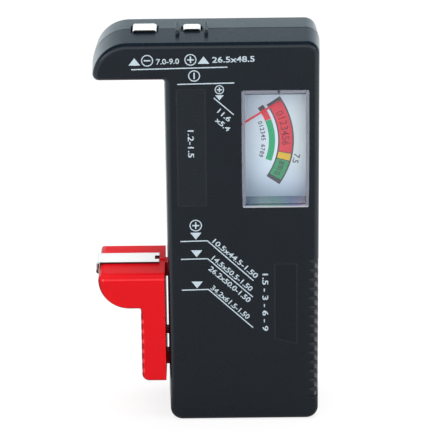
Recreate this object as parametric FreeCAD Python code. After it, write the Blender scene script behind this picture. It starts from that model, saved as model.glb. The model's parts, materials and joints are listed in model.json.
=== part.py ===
import FreeCAD, Part
import math
import os

V = FreeCAD.Vector

# A hand-held battery tester, standing upright. Millimetres, +Z up, front towards -Y.
# Origin: middle of the housing body's bottom face.

# Housing: the outline of its front and back faces, which grows by the draft towards the parting
case_height = 110.0
body_width = 41.1
case_depth = 24.8
arm_overhang = 19.2
arm_thickness = 10.1
front_shell_depth = 12.8
draft = 0.5
wall = 1.8
corner_radius = 3.3
arm_corner_radius = 1.7
inner_corner_radius = 0.8
nose_radius = 9.45
nose_lean = 12.0
edge_radius = 1.5
fillet_margin = 0.1

# Seam between the shells: shadow gap outside, lap tongue inside
seam_gap = 0.15
seam_inset = 0.25
tongue_thickness = 0.8
tongue_height = 1.5
lap_clearance = 0.1

# Screws that close the housing from behind
screw_side = 7.0
screw_low = 7.5
screw_high = 6.4
boss_radius = 2.7
screw_seat = 4.0
screw_reach = 8.0
screw_shank_radius = 0.9
screw_hole_clearance = 0.3
screw_pilot_clearance = 0.05
screw_head_radius = 1.9
screw_head_height = 1.5
screw_head_clearance = 0.2
screw_cross_width = 0.6
screw_cross_length = 2.6
screw_cross_depth = 0.7

# Grip ribs round the right-hand edge
grip_top = 48.1
grip_bottom = 6.8
grip_rib_count = 15
grip_rib_depth = 0.4
grip_rib_sink = 0.05
grip_reach = 4.6

# Shallow panels in the front face
upper_panel_margin = 3.05
upper_panel_width = 7.6
upper_panel_below_top = 12.7
upper_panel_height = 33.0
upper_panel_depth = 0.15
lower_panel_margin = 5.95
lower_panel_width = 6.0
lower_panel_top = 46.95
lower_panel_bottom = 24.8
lower_panel_slant = 1.6
lower_panel_depth = 0.3

# Window
window_margin = 2.65
window_width = 18.1
window_below_top = 13.0
window_height = 33.5
window_corner = 0.5
window_clearance = 0.1
window_wall = 0.8
window_face = 0.9
window_lip = 2.9
window_flange = 1.2
window_flange_thickness = 0.8
gate_mark_radius = 0.35
gate_mark_offset = 0.9
gate_mark_depth = 0.25
window_stand = 0.15
window_edge = 0.12

# Dial and meter base
dial_depth = 6.5
dial_thickness = 0.5
dial_left_overlap = 1.8
dial_right_overlap = 0.3
dial_end_margin = 0.8
base_wall = 1.2
base_floor = 1.0
base_right_overlap = 0.5
base_end_margin = 0.6
base_rail_clearance = 0.1

# Movement, on an axis that runs front to back
pivot_above_middle = 0.35
core_radius = 3.4
former_gap = 0.2
former_thickness = 0.2
coil_thickness = 0.7
coil_width = 1.2
coil_length = 4.8
coil_dial_gap = 0.2
core_end_gap = 0.3
air_gap = 0.5
yoke_thickness = 1.0
yoke_overlap = 0.2
yoke_side_gap = 0.1
yoke_dial_gap = 0.4
spacer_height = 1.6
spacer_length = 1.6
floor_behind_coil = 1.6
bridge_behind_face = 0.7
bridge_thickness = 0.8
bridge_width = 3.2
bridge_leg_gap = 0.6
bridge_leg_thickness = 1.4
jewel_radius = 1.1
jewel_clearance = 0.03
jewel_stand = 0.4
jewel_cup_depth = 0.5
jewel_slot_width = 0.4
jewel_slot_depth = 0.3
pivot_radius = 0.25
pivot_clearance = 0.05
pivot_end_gap = 0.15
collet_radius = 0.7
spring_strip = 0.15
spring_height = 0.4
spring_pitch = 0.6
spring_turns = 3
spring_clearance = 0.15
spring_jewel_gap = 0.1
stud_length = 0.8
stud_margin = 0.2

# Pointer
pointer_rest_angle = 32.0
pointer_reach = 13.5
pointer_width = 0.6
pointer_tip_width = 0.45
pointer_thickness = 0.3
pointer_before_dial = 1.2
pointer_hub_radius = 1.3
pointer_hub_clearance = 0.02
balance_radius = 0.7
balance_bore = 0.36
balance_length = 1.5
balance_inset = 0.2
balance_clearance = 0.2

# Circuit behind the meter
terminal_beside_pivot = 8.0
terminal_spread = 21.0
terminal_radius = 0.8
terminal_shoulder = 1.4
board_gap = 1.2
board_thickness = 1.0
board_hole_clearance = 0.1
board_left_of_pivot = 5.2
board_post_gap = 2.7
board_height = 26.0
stud_stand = 0.9
resistor_radius = 1.05
resistor_waist = 0.15
resistor_length = 6.4
resistor_spacing = 5.0
resistor_lift = 0.1
resistor_lead_radius = 0.3
resistor_lead_reach = 1.6
lead_radius = 0.5
lead_bend = 2.4
lead_below_contact = 3.0
main_rail_lead_drop = 5.6
mini_rail_lead_rise = 11.4

# Contacts for a nine-volt battery, on the top
contact_thickness = 0.4
contact_rise = 0.55
contact_shoulder = 0.9
contact_slot_play = 0.4
contact_slot_fit = 0.15
contact_foot = 1.0
contact_tail = 2.0
nine_volt_pitch = 12.7
negative_foot_margin = 0.05
negative_width = 6.6
negative_depth = 6.1
positive_width = 4.9
positive_depth = 4.5
fin_thickness = 1.0
fin_height = 0.95
fin_front_reach = 5.0
fin_back_reach = 3.1
fin_gap = 0.5
fin_edge = 0.2

# Contact for round cells, under the arm
cell_contact_drop = 0.6
cell_contact_shoulder = 0.5
cell_contact_depth = 6.4
cell_contact_tip_margin = 3.0

# Slot in the left wall and the rails behind it
slot_half_width = 2.2
slot_bottom = 5.2
slot_below_arm = 2.0
rail_behind_wall = 2.55
rail_thickness = 0.4
rail_front_reach = 3.3
rail_back_reach = 5.6
rail_groove_depth = 1.0
rail_groove_clearance = 0.05
main_rail_bottom = 29.0
mini_rail_below_top = 12.5
mini_rail_length = 9.0
rail_break = 2.0
rail_rib_margin = 1.0
rail_rib_wall = 0.8
post_radius = 1.5
post_inset = 2.6

# Slider
slider_gap = 0.6
slider_top = 43.8
slider_head_width = 18.25
slider_head_height = 10.1
slider_stem_width = 6.75
slider_height = 31.95
slider_side_margin = 0.4
slider_corner = 1.6
slider_foot_corner = 2.0
slider_edge = 1.1
slider_top_edge = 2.2
slider_inner_corner = 0.5
slider_rib_pitch = 2.96
slider_rib_count = 7
slider_rib_drop = 1.2
slider_groove_radius = 1.2
slider_groove_depth = 0.25
tab_drops = ((0.35, 4.4), (20.95, 21.9), (27.8, 31.2))
tab_clearance = 0.2
guide_clearance = 0.2
guide_thickness = 1.2
guide_half_width = 4.0
guide_margin = 0.8

# Contact strip of the slider
strip_thickness = 0.4
strip_width = 6.8
strip_stand = 0.2
strip_side_stand = 0.5
strip_fold = 0.3
strip_end_margin = 1.6
strip_channel_drop = 2.8
strip_channel_clearance = 0.2
strip_neck_width = 2.0
strip_neck_start = 3.0
strip_notch_width = 2.4
strip_notch_depth = 1.2
pit_depth = 1.2
ridge_radius = 1.0
ridge_height = 0.4
ridge_gap = 0.1
wiper_clearance = 0.2
wiper_length = 4.0
wiper_bend = 0.4

# Places that follow from the sizes
right = body_width / 2
left = -right
back = case_depth / 2
front = -back
parting = front + front_shell_depth
arm_tip = left - arm_overhang
arm_under = case_height - arm_thickness
parting_top = case_height + draft
parting_under = arm_under - draft
parting_left = left - draft
inner_left = left + wall
inner_top = case_height - wall
inner_front = front + wall
inner_back = back - wall
rim = min(edge_radius, arm_corner_radius - fillet_margin)

window_right = right - window_margin
window_left = window_right - window_width
window_top = case_height - window_below_top
window_bottom = window_top - window_height

rail_left = inner_left + rail_behind_wall
rail_right = rail_left + rail_thickness
mini_rail_top = case_height - mini_rail_below_top
mini_rail_bottom = mini_rail_top - mini_rail_length
main_rail_top = mini_rail_bottom - rail_break
base_left = rail_right + base_rail_clearance
base_right = window_right + base_right_overlap
base_top = window_top - base_end_margin
base_bottom = window_bottom + base_end_margin

dial_front = front + dial_depth
dial_back = dial_front + dial_thickness
coil_front = dial_back + coil_dial_gap
coil_back = coil_front + coil_length
former_radius = core_radius + former_gap
coil_inner = former_radius + former_thickness
coil_outer = coil_inner + coil_thickness
core_front = coil_front + coil_thickness + former_thickness + core_end_gap
core_back = coil_back - coil_thickness - former_thickness - core_end_gap
yoke_inner = coil_outer + air_gap
yoke_outer = yoke_inner + yoke_thickness
pivot_x = base_left + base_wall + yoke_side_gap + yoke_outer
pivot_z = (window_top + window_bottom) / 2 + pivot_above_middle
cross_wall = pivot_x + yoke_outer + yoke_dial_gap
dial_left = min(cross_wall, window_left - dial_left_overlap)
floor_front = coil_back + floor_behind_coil
base_back = floor_front + base_floor
bridge_front = inner_front + bridge_behind_face
bridge_back = bridge_front + bridge_thickness
leg_inner = yoke_outer + bridge_leg_gap
leg_outer = leg_inner + bridge_leg_thickness
front_jewel_back = bridge_back + jewel_stand
rear_jewel_front = floor_front - jewel_stand
front_spring_front = front_jewel_back + spring_jewel_gap
rear_spring_front = rear_jewel_front - spring_jewel_gap - spring_height
spring_start = collet_radius + spring_clearance
spring_end = spring_start + spring_turns * spring_pitch
pointer_front = dial_front - pointer_before_dial - pointer_thickness
pointer_length = window_left - pivot_x + pointer_reach
balance_start = spring_end + spring_strip + stud_margin + balance_clearance
balance_arm = balance_start + balance_length + balance_inset

board_front = base_back + board_gap
board_back = board_front + board_thickness
board_left = pivot_x - board_left_of_pivot
board_right = base_right - post_inset - post_radius - board_post_gap
board_top = pivot_z + board_height / 2
board_bottom = pivot_z - board_height / 2
lead_y = (board_front + board_back) / 2
main_rail_lead_height = pivot_z - main_rail_lead_drop
mini_rail_lead_height = pivot_z + mini_rail_lead_rise

negative_x = arm_tip + nose_radius + negative_foot_margin + contact_foot + negative_width / 2
positive_x = negative_x + nine_volt_pitch
fin_offset = positive_width / 2 + contact_slot_play + fin_gap + fin_thickness / 2
foot_top = inner_top
foot_bottom = foot_top - contact_thickness
negative_foot_x = negative_x + negative_width / 2 + contact_foot / 2
positive_foot_x = positive_x + positive_width / 2 + contact_foot / 2
cell_contact_left = arm_tip + cell_contact_tip_margin
cell_contact_right = negative_x + negative_width / 2
cell_foot_bottom = arm_under + wall
cell_foot_top = cell_foot_bottom + contact_thickness
slot_top = arm_under - slot_below_arm
rib_front = parting + rail_back_reach - rail_groove_depth

slider_right = parting_left - slider_gap
slider_left = slider_right - slider_head_width
slider_stem_left = slider_right - slider_stem_width
slider_head_bottom = slider_top - slider_head_height
slider_bottom = slider_top - slider_height
slider_rib_top = slider_head_bottom - slider_rib_drop
slider_front = front + slider_side_margin
slider_back = back - slider_side_margin
slider_middle = (slider_front + slider_back) / 2
guide_left = inner_left + guide_clearance
guide_right = guide_left + guide_thickness
tab_spans = [(slider_top - low, slider_top - high) for high, low in tab_drops]
strip_right = slider_right - strip_end_margin
strip_under = slider_top + strip_stand
strip_top = strip_under + strip_thickness
strip_inner_left = slider_left - strip_side_stand
strip_low = slider_top - strip_channel_drop
strip_high = strip_low + strip_thickness
notch_left = strip_right - strip_notch_depth
wiper_right = rail_left - wiper_clearance
channel_top = strip_high + strip_channel_clearance

front_axis = V(0, 1, 0)
pivot = V(pivot_x, 0, pivot_z)
overshoot = 1.0
hair = 1e-6


# Basic forms
def box(x0, x1, y0, y1, z0, z1):
    return Part.makeBox(x1 - x0, y1 - y0, z1 - z0, V(x0, y0, z0))


def rod(x, z, y0, y1, radius):
    return Part.makeCylinder(radius, y1 - y0, V(x, y0, z), front_axis)


def ring(x, z, y0, y1, outer, inner):
    return rod(x, z, y0, y1, outer).cut(rod(x, z, y0 - overshoot, y1 + overshoot, inner))


def join(shapes):
    return shapes[0].multiFuse(shapes[1:]).removeSplitter()


def rounded_wire(corners, y):
    # Closed outline in an upright plane: each corner is (x, z, radius)
    points = [V(x, y, z) for x, z, radius in corners]
    count = len(points)
    spans = []
    for index, (x, z, radius) in enumerate(corners):
        here = points[index]
        to_last = (points[index - 1] - here).normalize()
        to_next = (points[(index + 1) % count] - here).normalize()
        half = to_last.getAngle(to_next) / 2
        reach = radius / math.tan(half)
        middle = here + (to_last + to_next).normalize() * (radius / math.sin(half) - radius)
        spans.append((here + to_last * reach, middle, here + to_next * reach))
    edges = []
    for index, (start, middle, end) in enumerate(spans):
        if corners[index][2] > 0:
            edges.append(Part.Arc(start, middle, end).toShape())
        following = spans[(index + 1) % count][0]
        if end.distanceToPoint(following) > hair:
            edges.append(Part.LineSegment(end, following).toShape())
    return Part.Wire(edges)


def plate(corners, y0, y1):
    return Part.Face(rounded_wire(corners, y0)).extrude(V(0, y1 - y0, 0))


def panel(x0, x1, y0, y1, z0, z1, radius):
    return plate([(x0, z0, radius), (x1, z0, radius), (x1, z1, radius), (x0, z1, radius)], y0, y1)


def rim_edges(solid, planes):
    return [edge for edge in solid.Edges for plane in planes
            if all(abs(vertex.Y - plane) < hair for vertex in edge.Vertexes)]


# Housing
def case_corners(grow, floor):
    # The housing seen from the front, grown outwards; the nose is a round on a leaning tangent
    lean = math.radians(nose_lean)
    nose_x = arm_tip + nose_radius
    nose_z = case_height - nose_radius
    reach = nose_radius + grow
    top = case_height + grow
    under = arm_under - grow
    tip_top = nose_x - reach / math.cos(lean) + (top - nose_z) * math.tan(lean)
    tip_low = nose_x - reach / math.cos(lean) + (under - nose_z) * math.tan(lean)
    corner = max(corner_radius + grow, 0)
    return [(left - grow, floor, corner),
            (right + grow, floor, corner),
            (right + grow, top, corner),
            (tip_top, top, reach),
            (tip_low, under, max(arm_corner_radius + grow, 0)),
            (left - grow, under, max(inner_corner_radius - grow, 0))]


def case_slab(inset, y0, y1):
    return plate(case_corners(-inset, inset), y0, y1)


def case_half(face):
    # One half of the housing, widening from its flat face to the parting
    half = Part.makeLoft([rounded_wire(case_corners(0, 0), face),
                          rounded_wire(case_corners(draft, 0), parting)], True, True)
    half = half.makeFillet(rim, rim_edges(half, (face,)))
    return half.cut([case_slab(wall, inner_front, inner_back), seam_cut()])


def seam_cut():
    outside = plate(case_corners(draft + seam_inset, -seam_inset), parting - seam_gap, parting + seam_gap)
    inside = plate(case_corners(draft - seam_inset, seam_inset), parting - overshoot, parting + overshoot)
    return outside.cut(inside)


def screw_places():
    return [(left + screw_side, screw_low), (right - screw_side, screw_low),
            (right - screw_side, case_height - screw_high)]


def grip_cut(depth):
    # Scallops of the front half: they run in along the front, round the edge and along the side
    lean = math.atan(draft / depth)
    corner = right + rim * math.tan(lean) - rim / math.cos(lean)
    pitch = (grip_top - grip_bottom) / grip_rib_count
    low = front + grip_rib_depth
    crest = front + grip_rib_sink
    edges = []
    for index in range(grip_rib_count):
        z = grip_bottom + index * pitch
        top_of_rib = V(corner, crest, z + pitch / 2)
        edges.append(Part.Arc(V(corner, low, z), top_of_rib, V(corner, low, z + pitch)).toShape())
    outside = [V(corner, low, grip_top), V(corner, front - overshoot, grip_top),
               V(corner, front - overshoot, grip_bottom), V(corner, low, grip_bottom)]
    for first, second in zip(outside, outside[1:]):
        edges.append(Part.LineSegment(first, second).toShape())
    band = Part.Face(Part.Wire(edges))
    run_in = band.extrude(V(right - grip_reach - corner, -grip_rib_depth, 0))
    turn = 90 - math.degrees(lean)
    middle = V(corner, front + rim, 0)
    round_edge = band.revolve(middle, V(0, 0, 1), turn)
    rearwards = V(math.sin(lean), math.cos(lean), 0)
    along_side = band.rotated(middle, V(0, 0, 1), turn).extrude(rearwards * depth)
    return [run_in, round_edge, along_side]


def panel_cuts():
    upper_left = left + upper_panel_margin
    upper_top = case_height - upper_panel_below_top
    upper = box(upper_left, upper_left + upper_panel_width, front - overshoot, front + upper_panel_depth,
                upper_top - upper_panel_height, upper_top)
    lower_right = right - lower_panel_margin
    lower_left = lower_right - lower_panel_width
    lower = plate([(lower_left, lower_panel_bottom, 0),
                   (lower_right, lower_panel_bottom - lower_panel_slant, 0),
                   (lower_right, lower_panel_top, 0),
                   (lower_left, lower_panel_top, 0)], front - overshoot, front + lower_panel_depth)
    return [upper, lower]


def contact_slots():
    # Leg slots of the nine-volt contacts in the top, and of the cell contact under the arm
    cuts = []
    tabs = [(negative_x, negative_width, negative_depth), (positive_x, positive_width, positive_depth)]
    for x, width, depth in tabs:
        reach = depth / 2 + contact_slot_fit
        for side in (-1, 1):
            outer = x + side * (width / 2 + contact_slot_play)
            inner = x + side * (width / 2 - contact_shoulder)
            cuts.append(box(min(outer, inner), max(outer, inner), parting - reach, parting + reach,
                            inner_top - overshoot, parting_top + overshoot))
    reach = cell_contact_depth / 2 + contact_slot_fit
    for leg in (cell_contact_left, cell_contact_right - contact_thickness):
        cuts.append(box(leg - contact_slot_fit, leg + contact_thickness + contact_slot_fit, parting - reach,
                        parting + reach, parting_under - overshoot, cell_foot_top))
    return cuts


def slider_slot():
    return box(parting_left - overshoot, inner_left + guide_clearance, parting - slot_half_width,
               parting + slot_half_width, slot_bottom, slot_top)


def polarity_fins(y0, y1, root):
    # Upright fins beside the positive contact, with their top edges rounded away from the parting
    top = parting_top + fin_height
    fins = []
    for side in (-1, 1):
        x = positive_x + side * fin_offset
        fin = box(x - fin_thickness / 2, x + fin_thickness / 2, y0, y1, root, top)
        edges = [edge for edge in fin.Edges if abs(edge.BoundBox.ZMin - top) < hair
                 and abs(edge.BoundBox.Center.y - parting) > hair]
        fins.append(fin.makeFillet(fin_edge, edges))
    return fins


def make_front_shell():
    rebate = wall - tongue_thickness - lap_clearance
    shell = case_half(front).cut(case_slab(rebate, parting - tongue_height - lap_clearance, parting))
    bosses = [rod(x, z, front + wall / 2, parting, boss_radius) for x, z in screw_places()]
    fins = polarity_fins(parting - fin_front_reach, parting, case_height - rebate / 2)
    shell = shell.multiFuse(bosses + fins)
    pilot_radius = screw_shank_radius + screw_pilot_clearance
    pilots = [rod(x, z, parting - screw_reach - overshoot, parting, pilot_radius)
              for x, z in screw_places()]
    opening = panel(window_left, window_right, front - overshoot, inner_front + overshoot,
                    window_bottom, window_top, window_corner)
    grip = grip_cut(front_shell_depth)
    return shell.cut(pilots + [opening, slider_slot()] + contact_slots() + panel_cuts() + grip)


def make_rear_shell():
    tongue = case_slab(wall - tongue_thickness, parting - tongue_height, parting + wall)
    tongue = tongue.cut(case_slab(wall, parting - tongue_height - overshoot, parting + wall + overshoot))
    tubes = [rod(x, z, parting, back - wall / 2, boss_radius) for x, z in screw_places()]
    rib = box(rail_left - rail_rib_wall, rail_right + rail_rib_wall, rib_front, back - wall / 2,
              main_rail_bottom - rail_rib_margin, mini_rail_top + rail_rib_margin)
    groove = box(rail_left - rail_groove_clearance, rail_right + rail_groove_clearance,
                 rib_front - overshoot, parting + rail_back_reach + rail_groove_clearance,
                 main_rail_bottom, mini_rail_top)
    posts = [rod(base_right - post_inset, z, base_back, back - wall / 2, post_radius)
             for z in (base_bottom + post_inset, base_top - post_inset)]
    fins = polarity_fins(parting, parting + fin_back_reach, case_height - wall / 2)
    shell = case_half(back).multiFuse([tongue, rib] + tubes + posts + fins)
    well_radius = screw_head_radius + screw_head_clearance
    holes = []
    for x, z in screw_places():
        holes.append(rod(x, z, parting - overshoot, back, screw_shank_radius + screw_hole_clearance))
        holes.append(rod(x, z, parting + screw_seat, back + overshoot, well_radius))
    grip = [piece.mirror(V(0, 0, 0), front_axis) for piece in grip_cut(case_depth - front_shell_depth)]
    return shell.cut(holes + [groove, slider_slot()] + contact_slots() + grip)


def make_case_screws():
    seat = parting + screw_seat
    top = seat + screw_head_height
    cross = ((screw_cross_length, screw_cross_width), (screw_cross_width, screw_cross_length))
    screws = []
    for x, z in screw_places():
        screw = rod(x, z, parting - screw_reach, seat + screw_head_height / 2, screw_shank_radius)
        screw = screw.fuse(rod(x, z, seat, top, screw_head_radius))
        for width, height in cross:
            screw = screw.cut(box(x - width / 2, x + width / 2, top - screw_cross_depth, top + overshoot,
                                  z - height / 2, z + height / 2))
        screws.append(screw)
    return Part.makeCompound(screws)


# Meter
def make_meter_window():
    x0 = window_left + window_clearance
    x1 = window_right - window_clearance
    z0 = window_bottom + window_clearance
    z1 = window_top - window_clearance
    face = front - window_stand
    lens = panel(x0, x1, face, dial_front, z0, z1, window_corner)
    lens = lens.makeFillet(window_edge, rim_edges(lens, (face,)))
    inside = box(x0 + window_wall, x1 - window_wall, face + window_face, dial_front + overshoot,
                 z0 + window_wall, z1 - window_wall)
    pointer_way = box(x0 - overshoot, x0 + 2 * window_wall, front + window_lip, dial_front + overshoot,
                      z0 + window_wall, z1 - window_wall)
    mark = rod((x0 + x1) / 2 + gate_mark_offset, z1 - window_wall / 2,
               face - overshoot, face + gate_mark_depth, gate_mark_radius)
    flange_front = inner_front
    flange_back = inner_front + window_flange_thickness
    flanges = [box(x0, x1, flange_front, flange_back, z0 - window_flange, z0 + window_wall / 2),
               box(x0, x1, flange_front, flange_back, z1 - window_wall / 2, z1 + window_flange)]
    return lens.multiFuse(flanges).cut([inside, pointer_way, mark])


def make_dial_plate():
    return panel(dial_left, window_right + dial_right_overlap, dial_front, dial_back,
                 window_bottom + dial_end_margin, window_top - dial_end_margin, window_corner)


def make_meter_base():
    tray = panel(base_left, base_right, dial_back, base_back, base_bottom, base_top, base_wall)
    movement_room = box(base_left + base_wall, cross_wall, dial_back - overshoot, floor_front,
                        base_bottom + base_wall, base_top - base_wall)
    dial_room = box(cross_wall + base_wall, base_right - base_wall, dial_back - overshoot, floor_front,
                    base_bottom + base_wall, base_top - base_wall)
    stud = spring_stud(rear_spring_front, floor_front + base_floor / 2)
    hole = rod(pivot_x, pivot_z, floor_front - overshoot, base_back + overshoot,
               jewel_radius + jewel_clearance)
    return tray.cut([movement_room, dial_room]).fuse(stud).cut(hole)


def make_yoke_ring():
    return ring(pivot_x, pivot_z, core_front - yoke_overlap, floor_front, yoke_outer, yoke_inner)


def make_core_magnet():
    return rod(pivot_x, pivot_z, core_front, core_back, core_radius)


def make_core_spacers():
    middle = (core_front + core_back) / 2
    reach = spacer_length / 2
    band = ring(pivot_x, pivot_z, middle - reach, middle + reach, yoke_inner, core_radius)
    half = spacer_height / 2
    sides = [box(pivot_x, pivot_x + yoke_outer, core_front, core_back, pivot_z - half, pivot_z + half),
             box(pivot_x - yoke_outer, pivot_x, core_front, core_back, pivot_z - half, pivot_z + half)]
    return Part.makeCompound([band.common(side) for side in sides])


def spring_stud(y0, y1):
    # Post that the outer end of a hairspring is fixed to
    return box(pivot_x - stud_length, pivot_x, y0, y1, pivot_z + spring_end - stud_margin,
               pivot_z + spring_end + spring_strip + stud_margin)


def make_front_bridge():
    half = bridge_width / 2
    middle = (bridge_front + bridge_back) / 2
    leg_end = leg_outer - bridge_thickness / 2
    bar = panel(pivot_x - half, pivot_x + half, bridge_front, bridge_back,
                pivot_z - leg_outer, pivot_z + leg_outer, bridge_thickness / 2)
    legs = [box(pivot_x - half, pivot_x + half, middle, floor_front, pivot_z + low, pivot_z + high)
            for low, high in ((-leg_end, -leg_inner), (leg_inner, leg_end))]
    stud = spring_stud(middle, front_spring_front + spring_height)
    hole = rod(pivot_x, pivot_z, bridge_front - overshoot, bridge_back + overshoot,
               jewel_radius + jewel_clearance)
    return bar.multiFuse(legs + [stud]).cut(hole)


def jewel_screw(slot_end, cup_end):
    # Slotted bearing screw: a screwdriver slot at one end, the pivot's cup at the other
    inward = 1 if slot_end < cup_end else -1
    body = rod(pivot_x, pivot_z, min(slot_end, cup_end), max(slot_end, cup_end), jewel_radius)
    slot_y = sorted((slot_end - inward * overshoot, slot_end + inward * jewel_slot_depth))
    slot = box(pivot_x - 2 * jewel_radius, pivot_x + 2 * jewel_radius, slot_y[0], slot_y[1],
               pivot_z - jewel_slot_width / 2, pivot_z + jewel_slot_width / 2)
    cup_y = sorted((cup_end - inward * jewel_cup_depth, cup_end + inward * overshoot))
    cup = rod(pivot_x, pivot_z, cup_y[0], cup_y[1], pivot_radius + pivot_clearance)
    return body.cut([slot, cup])


def make_front_jewel_screw():
    return jewel_screw(bridge_front - jewel_stand, front_jewel_back)


def make_rear_jewel_screw():
    return jewel_screw(base_back + jewel_stand, rear_jewel_front)


def hairspring(y0):
    # Flat spiral of half circles about two centres half a pitch apart
    def half_turns(offset):
        edges = []
        for turn in range(spring_turns):
            low_radius = spring_start + turn * spring_pitch + offset
            high_radius = low_radius + spring_pitch / 2
            shifted = pivot_z + spring_pitch / 2
            top = V(pivot_x, y0, pivot_z + low_radius)
            bottom = V(pivot_x, y0, pivot_z - low_radius)
            next_top = V(pivot_x, y0, shifted + high_radius)
            edges.append(Part.Arc(top, V(pivot_x - low_radius, y0, pivot_z), bottom).toShape())
            edges.append(Part.Arc(bottom, V(pivot_x + high_radius, y0, shifted), next_top).toShape())
        return edges

    inner = half_turns(0)
    outer = half_turns(spring_strip)
    start = Part.LineSegment(V(pivot_x, y0, pivot_z + spring_start),
                             V(pivot_x, y0, pivot_z + spring_start + spring_strip)).toShape()
    end = Part.LineSegment(V(pivot_x, y0, pivot_z + spring_end),
                           V(pivot_x, y0, pivot_z + spring_end + spring_strip)).toShape()
    wire = Part.Wire(Part.sortEdges(inner + [end] + outer + [start])[0])
    return Part.Face(wire).extrude(V(0, spring_height, 0))


def make_front_hairspring():
    return hairspring(front_spring_front)


def make_rear_hairspring():
    return hairspring(rear_spring_front)


# Turning parts of the meter, modelled with the pointer level and turned to its rest place
def at_rest(shape):
    return shape.rotated(pivot, front_axis, -pointer_rest_angle)


def coil_loop(inner, outer, y0, y1, thickness):
    # Upright rectangular loop round the core; its sides run front to back
    half = coil_width / 2
    loop = box(pivot_x - half, pivot_x + half, y0, y1, pivot_z - outer, pivot_z + outer)
    return loop.cut(box(pivot_x - coil_width, pivot_x + coil_width, y0 + thickness, y1 - thickness,
                        pivot_z - inner, pivot_z + inner))


def make_moving_coil():
    loop = coil_loop(coil_inner, coil_outer, coil_front, coil_back, coil_thickness)
    long_edges = [edge for edge in loop.Edges if edge.BoundBox.XLength > coil_width - hair
                  and abs(abs(edge.BoundBox.Center.z - pivot_z) - coil_outer) < hair]
    return at_rest(loop.makeFillet(coil_thickness - fillet_margin, long_edges))


def make_coil_former():
    return at_rest(coil_loop(former_radius, coil_inner, coil_front + coil_thickness,
                             coil_back - coil_thickness, former_thickness))


def make_pivot_pins():
    front_tip = front_jewel_back - jewel_cup_depth + pivot_end_gap
    rear_tip = rear_jewel_front + jewel_cup_depth - pivot_end_gap

    def pin(y0, y1, collet_fronts):
        collets = [rod(pivot_x, pivot_z, y, y + length, collet_radius) for y, length in collet_fronts]
        return join([rod(pivot_x, pivot_z, y0, y1, pivot_radius)] + collets)

    front_pin = pin(front_tip, coil_front,
                    [(front_spring_front, spring_height), (coil_front - coil_dial_gap, coil_dial_gap)])
    rear_pin = pin(coil_back, rear_tip,
                   [(rear_spring_front, spring_height), (coil_back, coil_dial_gap)])
    return Part.makeCompound([front_pin, rear_pin])


def make_pointer():
    pointer_back = pointer_front + pointer_thickness
    half = pointer_width / 2
    tip = pointer_tip_width / 2
    arm = plate([(pivot_x, pivot_z - half, 0), (pivot_x + pointer_length, pivot_z - tip, 0),
                 (pivot_x + pointer_length, pivot_z + tip, 0), (pivot_x, pivot_z + half, 0)],
                pointer_front, pointer_back)
    tail = box(pivot_x - balance_arm, pivot_x, pointer_front, pointer_back, pivot_z - half, pivot_z + half)
    cross = box(pivot_x - half, pivot_x + half, pointer_front, pointer_back,
                pivot_z - balance_arm, pivot_z + balance_arm)
    hub = rod(pivot_x, pivot_z, pointer_front, pointer_back, pointer_hub_radius)
    bore = rod(pivot_x, pivot_z, pointer_front - overshoot, pointer_back + overshoot,
               pivot_radius + pointer_hub_clearance)
    return at_rest(join([hub, arm, tail, cross]).cut(bore))


def make_balance_weights():
    middle = pointer_front + pointer_thickness / 2

    def sleeve(way):
        place = V(pivot_x, middle, pivot_z) + way * balance_start
        outer = Part.makeCylinder(balance_radius, balance_length, place, way)
        return outer.cut(Part.makeCylinder(balance_bore, balance_length, place, way))

    return at_rest(Part.makeCompound([sleeve(way) for way in (V(-1, 0, 0), V(0, 0, 1), V(0, 0, -1))]))


# Circuit
def terminal_places():
    x = pivot_x + terminal_beside_pivot
    return [(x, pivot_z - terminal_spread / 2), (x, pivot_z + terminal_spread / 2)]


def make_meter_terminals():
    studs = []
    for x, z in terminal_places():
        shoulder = rod(x, z, base_back, board_front, terminal_shoulder)
        studs.append(join([shoulder, rod(x, z, base_back, board_back + stud_stand, terminal_radius)]))
    return Part.makeCompound(studs)


def resistor_heights():
    return [pivot_z + step * resistor_spacing for step in (1, 0, -1)]


def resistor_lead_places():
    middle = (board_left + board_right) / 2
    reach = resistor_length / 2 + resistor_lead_reach
    return middle - reach, middle + reach


def make_resistor_board():
    board = box(board_left, board_right, board_front, board_back, board_bottom, board_top)
    places = [(x, z, terminal_radius) for x, z in terminal_places()]
    places += [(x, z, resistor_lead_radius) for x in resistor_lead_places() for z in resistor_heights()]
    holes = [rod(x, z, board_front - overshoot, board_back + overshoot, radius + board_hole_clearance)
             for x, z, radius in places]
    return board.cut(holes)


def make_resistor(z):
    # Body with a drawn-in waist, and a lead bent down into the board at each end
    y = board_back + resistor_lift + resistor_radius
    lead_left, lead_right = resistor_lead_places()
    half = resistor_length / 2
    middle = (lead_left + lead_right) / 2
    cap = half / 3
    along = V(1, 0, 0)
    body = Part.makeCylinder(resistor_radius - resistor_waist, resistor_length,
                             V(middle - half, y, z), along)
    caps = [Part.makeCylinder(resistor_radius, cap, V(x, y, z), along)
            for x in (middle - half, middle + half - cap)]
    across = Part.makeCylinder(resistor_lead_radius, lead_right - lead_left, V(lead_left, y, z), along)
    ends = []
    for x in (lead_left, lead_right):
        ends.append(rod(x, z, board_front, y, resistor_lead_radius))
        ends.append(Part.makeSphere(resistor_lead_radius, V(x, y, z)))
    return body.multiFuse(caps + [across] + ends)


def make_nine_volt_resistor():
    return make_resistor(resistor_heights()[0])


def make_cell_load_resistor():
    return make_resistor(resistor_heights()[1])


def make_mini_cell_resistor():
    return make_resistor(resistor_heights()[2])


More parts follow.
